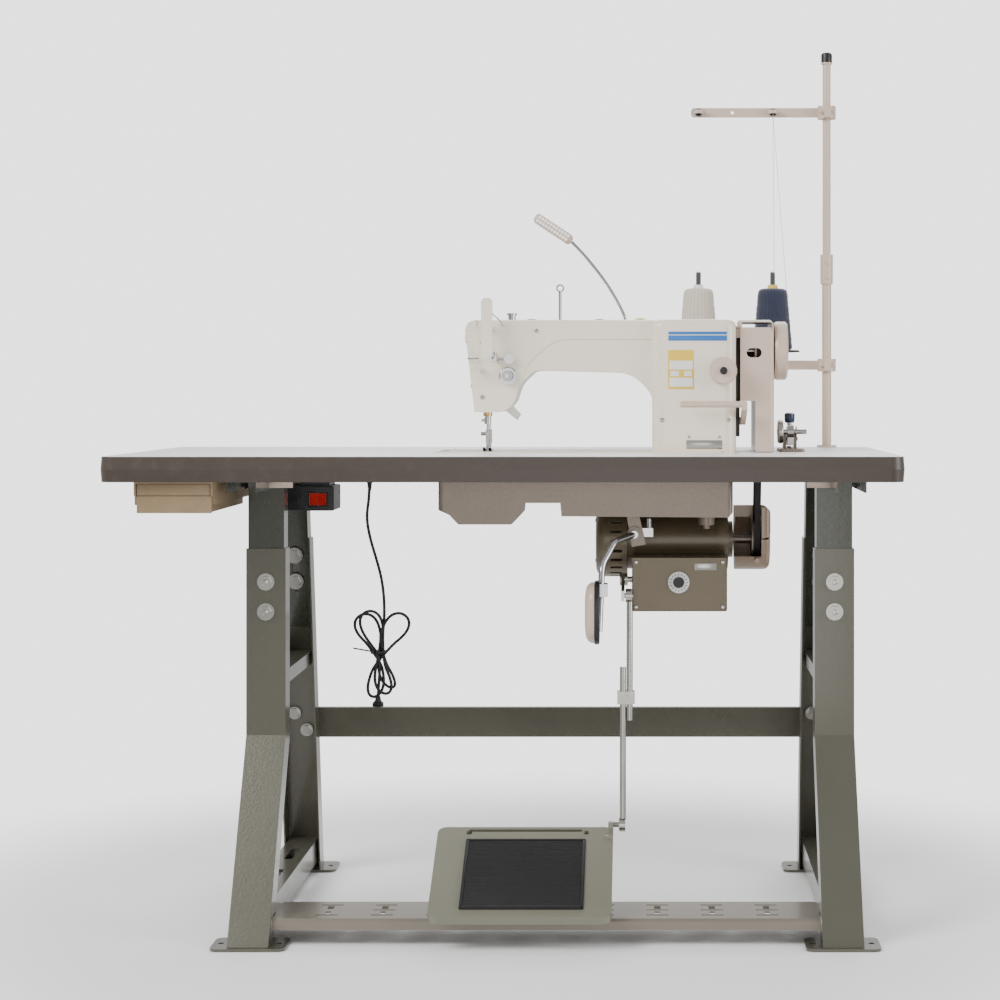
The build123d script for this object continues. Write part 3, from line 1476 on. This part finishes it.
with BuildPart() as tension_assembly:
    rod_y(tension_x, tension_z, 14, arm_front - 4, arm_front)
    rod_y(tension_x, tension_z, 3, arm_front - 34, arm_front)
    for disc in (0, 1):
        rod_y(tension_x, tension_z, 12, arm_front - 8 - 3 * disc, arm_front - 6.6 - 3 * disc)
    rod_y(tension_x, tension_z, 7, arm_front - 20, arm_front - 11)
    rod_y(tension_x + 2, 889, 3, arm_front - 16, arm_front)
    rod_y(tension_x + 2, 889, 8, arm_front - 12, arm_front - 9)
save(tension_assembly, "tension_assembly")
with BuildPart() as tension_nut:
    rod_y(tension_x, tension_z, 8.5, arm_front - 31, arm_front - 21)
    rod_y(tension_x, tension_z, 3 + running, arm_front - 32, arm_front - 20, Mode.SUBTRACT)
save(tension_nut, "tension_nut")
with BuildPart() as thread_guides:
    rod_z(76, needle_y, 2.5, arm_top, 1000)
    rod_y(76, 1004, 6.5, needle_y - 1.5, needle_y + 1.5)
    rod_y(76, 1004, 4, needle_y - 2, needle_y + 2, Mode.SUBTRACT)
    rod_z(-1, -50, 6, arm_top, arm_top + 8)
    rod_z(-1, -50, 8, arm_top + 8, arm_top + 11)
    # Guard blade beside the take-up lever
    block((-31, -29), (-117, arm_front), (892, 900))
    block((-31, -29), (-117, -108), (892, 970))
    with BuildSketch(Plane.XZ.offset(115.5)):
        with Locations((-37, 936.5)):
            RectangleRounded(18, 97, 8)
    extrude(amount=2.5)
    block((-31, -24), (arm_front - 2, arm_front), (886, 900))
    rod_y(-52, 874, 3, arm_front - 8, arm_front)
    rod_y(-52, 874, 5, arm_front - 10, arm_front - 8)
save(thread_guides, "thread_guides")

with BuildPart() as take_up_lever:
    rest_angle = math.radians(20)
    reach = 70.0

    def along_lever(distance, aside):
        """A YZ point at a distance along the lever from its pivot."""
        return (
            take_up_y - distance * math.cos(rest_angle) - aside * math.sin(rest_angle),
            take_up_z + distance * math.sin(rest_angle) - aside * math.cos(rest_angle),
        )

    pull_x(
        [along_lever(0, 4), along_lever(0, -4), along_lever(reach, -3), along_lever(reach, 3)],
        -39.5,
        -36.5,
    )
    rod_x(*along_lever(reach, 0), 4.5, -39.5, -36.5)
    rod_x(*along_lever(reach, 0), 1.8, -40, -36, Mode.SUBTRACT)
    rod_x(take_up_y, take_up_z, 6, -41.5, -34)
save(take_up_lever, "take_up_lever")

needle_tip = bed_top + 9
with BuildPart() as needle_bar:
    rod_z(needle_x, needle_y, needle_bar_radius, needle_tip + 36, 915)
    rod_z(needle_x, needle_y, 5.5, needle_tip + 34, needle_tip + 46)
    rod_x(needle_y, needle_tip + 40, 2.2, needle_x - 10, needle_x)
    rod_z(needle_x, needle_y, 1.0, needle_tip + 22, needle_tip + 35)
    with BuildSketch(Plane.XY.offset(needle_tip + 22)):
        with Locations((needle_x, needle_y)):
            Circle(0.7)
    extrude(amount=-22)
save(needle_bar, "needle_bar")
with BuildPart() as presser_bar:
    rod_z(needle_x, presser_y, presser_bar_radius, bed_top + 20, 925)
    block((needle_x - 8, needle_x + 8), (presser_y - 7, presser_y + 7), (842, 852))
save(presser_bar, "presser_bar")
with BuildPart() as presser_foot:
    block((needle_x - 5, needle_x + 5), (presser_y - 6, presser_y + 6), (bed_top + 12, bed_top + 34))
    rod_z(needle_x, presser_y, presser_bar_radius, bed_top + 20, bed_top + 35, Mode.SUBTRACT)
    rod_x(presser_y, bed_top + 27, 3, needle_x - 13, needle_x - 4)
    block((needle_x - 4, needle_x + 4), (presser_y - 7, presser_y + 1), (bed_top + 1, bed_top + 14))
    pull_x(
        [
            (presser_y + 4, bed_top + 0.4),
            (needle_y - 12, bed_top + 0.4),
            (needle_y - 21, bed_top + 5),
            (needle_y - 21, bed_top + 6.5),
            (needle_y - 12, bed_top + 2.6),
            (presser_y + 4, bed_top + 2.6),
        ],
        needle_x - 7,
        needle_x + 7,
    )
    block(
        (needle_x - 2.2, needle_x + 2.2),
        (needle_y - 22, needle_y + 8),
        (bed_top - 1, bed_top + 8),
        Mode.SUBTRACT,
    )
    rod_z(needle_x, needle_y, 2.4, bed_top - 1, bed_top + 8, Mode.SUBTRACT)
save(presser_foot, "presser_foot")
with BuildPart() as hand_lifter:
    rod_y(lifter_x, lifter_z, 4, arm_back - wall - 6, arm_back + 10)
    pull_y(
        [
            (lifter_x - 7, lifter_z + 6),
            (lifter_x + 8, lifter_z + 6),
            (lifter_x + 46, lifter_z - 34),
            (lifter_x + 40, lifter_z - 44),
            (lifter_x - 4, lifter_z - 9),
        ],
        arm_back + 1,
        arm_back + 6,
    )
    rod_y(lifter_x, lifter_z, 8, arm_back - wall - 6, arm_back - wall - 2)
save(hand_lifter, "hand_lifter")

with BuildPart() as stitch_dial:
    rod_y(dial_place_x, dial_place_z, 21.5, pillar_front - 20, pillar_front - 1)
    for rib in range(24):
        turn = math.radians(15 * rib)
        rib_x = dial_place_x + 22.5 * math.cos(turn)
        rod_y(
            rib_x,
            dial_place_z + 22.5 * math.sin(turn),
            2,
            pillar_front - 21,
            pillar_front - 7,
            Mode.SUBTRACT,
        )
    rod_y(dial_place_x, dial_place_z, 6, pillar_front - 23, pillar_front - 20)
    rod_y(dial_place_x, dial_place_z, dial_stem_radius, pillar_front - 1, dial_bore_end + 3)
save(stitch_dial, "stitch_dial")
with BuildPart() as reverse_lever:
    rod_x(-130, 817, 5, 268, 374)
    fillet(reverse_lever.edges().filter_by(GeomType.CIRCLE), 3)
    pull_x([(-135, 817), (-125, 820), (-66, 797), (-54, 795), (-54, 785), (-66, 784), (-134, 808)], 366, 374)
    rod_x(reverse_y, reverse_z, 6, pillar_right - wall - 8, 374)
save(reverse_lever, "reverse_lever")

# ---------------------------------------------------------------- lamp
lamp_x = 180.0
lamp_y = 40.0
lamp_length = 72.0
lamp_depth = 17.0
with BuildPart() as lamp_base:
    block((lamp_x - 16, lamp_x + 16), (arm_back, lamp_y + 14), (924, 930))
    block((lamp_x - 16, lamp_x + 16), (arm_back, arm_back + 4), (895, 930))
    rod_z(lamp_x, lamp_y, 13, 930, 952)
    rod_z(lamp_x, lamp_y, 3 + running, 940, 953, Mode.SUBTRACT)
save(lamp_base, "lamp_base")
lamp_tilt = math.radians(-33.5)
head_plane = Plane(
    (62.0, lamp_y, 1105.0), x_dir=(math.cos(lamp_tilt), 0, math.sin(lamp_tilt)), z_dir=(0, -1, 0)
)
with BuildPart() as lamp:
    with BuildSketch(head_plane.offset(-20)):
        RectangleRounded(lamp_length, lamp_depth, 6)
    extrude(amount=40)
    pipe(
        [
            (lamp_x, lamp_y, 941),
            (lamp_x, lamp_y, 964),
            (153, lamp_y, 1010),
            (119, lamp_y, 1055),
            (88, lamp_y, 1087.5),
        ],
        3,
        [20, 60, 60],
    )
save(lamp, "lamp")

# ---------------------------------------------------------------- mains cord
cord_radius = 2.6
cord_y = cord_exit[1]
cord_points = [
    cord_exit,
    (-269.2, cord_y + 1, 654),
    (-274.5, cord_y, 618),
    (-268.6, cord_y - 2, 584),
    (-258.4, cord_y - 2, 550),
    (-249.0, cord_y - 1, 517),
    (-244.4, cord_y, 487),
    (-243.0, cord_y, 459),
]


def bend_radii(points):
    """The radius at each corner of a route: 0.45 of its shorter run over the tangent of half its turn."""
    radii = []
    for before, corner, after in zip(points, points[1:], points[2:]):
        arriving = Vector(*corner) - Vector(*before)
        leaving = Vector(*after) - Vector(*corner)
        turn = math.radians(arriving.get_angle(leaving))
        radii.append(0.45 * min(arriving.length, leaving.length) / math.tan(turn / 2))
    return radii


cord_bends = bend_radii(cord_points)
print("cord radii", [round(radius) for radius in cord_bends])
with BuildPart() as power_cord:
    with BuildLine() as cord_line:
        FilletPolyline(*cord_points, radius=cord_bends)
    with BuildSketch(Plane(cord_line.line @ 0, z_dir=cord_line.line % 0)):
        Circle(cord_radius)
    sweep(path=cord_line.line)
cord_length = cord_line.wires()[0].length
print(
    "cord length",
    cord_length,
    "volume ratio",
    power_cord.part.volume / (cord_length * math.pi * cord_radius**2),
)
save(power_cord, "power_cord")
hank_top = 459.0
hank_waist = 380.0
hank_low = 302.0
with BuildPart() as cord_hank:
    with BuildSketch(Plane.XZ.offset(-(cord_y - 11))):
        with Locations((-251, (hank_top + hank_waist) / 2 - 3)):
            Ellipse(38, (hank_top - hank_waist) / 2 + 3)
        with Locations((-251, (hank_waist + hank_low) / 2 + 3)):
            Ellipse(25, (hank_waist - hank_low) / 2 + 3)
    extrude(amount=-22)
    block((-256, -232), (cord_y - 8, cord_y + 8), (hank_top - 12, hank_top))
    block((-262, -246), (cord_y - 8, cord_y + 8), (hank_low, hank_low + 12))
save(cord_hank, "cord_hank")
with BuildPart() as mains_plug:
    block((-264, -244), (cord_y - 8, cord_y + 8), (270, hank_low))
    fillet(mains_plug.edges().filter_by(Axis.Z), 5)
    for prong_x in (-260, -250):
        block((prong_x, prong_x + 2), (cord_y - 3, cord_y + 3), (254, 270))
save(mains_plug, "mains_plug")
